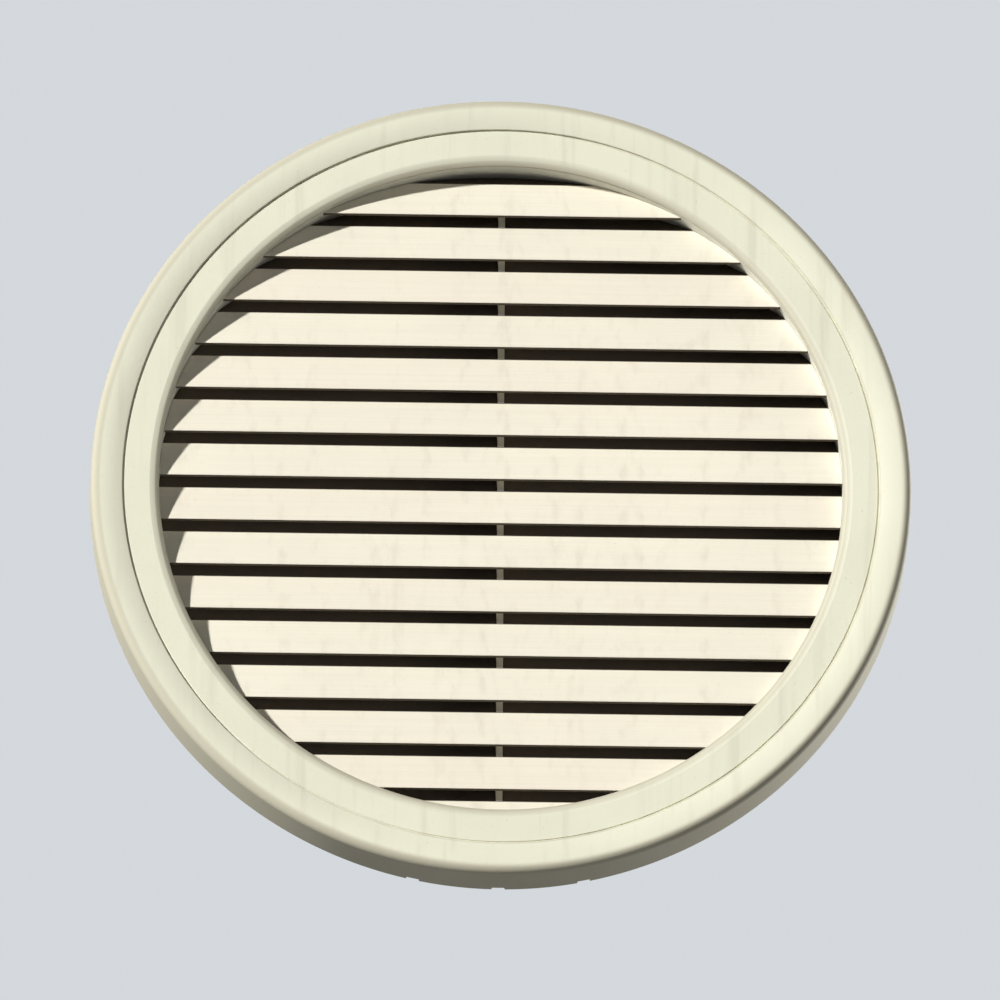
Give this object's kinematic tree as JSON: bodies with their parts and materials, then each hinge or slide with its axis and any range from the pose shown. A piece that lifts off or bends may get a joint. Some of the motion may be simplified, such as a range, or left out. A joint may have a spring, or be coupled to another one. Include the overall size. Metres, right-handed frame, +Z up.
{
  "type": "round gable louver vent",
  "caption": "Round wall vent for a gable: a moulded trim ring snaps over a flanged drum that holds fixed sloping louvers, with an insect screen clamped behind them.",
  "frame": {"origin": "centre of the nailing flange's back face, on the wall's sheathing", "axes": "+Y points into the wall, along the axis of the ring; -Y is the front that people see; +Z is up and +X is to the right seen from the front"},
  "size_m": [0.7619, 0.09, 0.762],
  "materials": {
    "ring_plastic": "cream moulded plastic, satin, lightly weathered",
    "louver_plastic": "cream moulded plastic with a fine wood-like drag, satin",
    "base_plastic": "plain off-white moulded plastic",
    "screen_mesh": "charcoal woven glass-fibre insect mesh",
    "screw_steel": "zinc-plated screws"
  },
  "bodies": {
    "root": {"trim_ring": "ring_plastic", "throat_collar": "base_plastic", "nailing_flange": "base_plastic", "snap_clips": "base_plastic", "center_mullion": "louver_plastic", "insect_screen": "screen_mesh", "screen_retainer": "base_plastic", "retainer_screws": "screw_steel", "louver_01": "louver_plastic", "louver_02": "louver_plastic", "louver_03": "louver_plastic", "louver_04": "louver_plastic", "louver_05": "louver_plastic", "louver_06": "louver_plastic", "louver_07": "louver_plastic", "louver_08": "louver_plastic", "louver_09": "louver_plastic", "louver_10": "louver_plastic", "louver_11": "louver_plastic", "louver_12": "louver_plastic", "louver_13": "louver_plastic", "louver_14": "louver_plastic", "louver_15": "louver_plastic"}
  },
  "joints": []
}
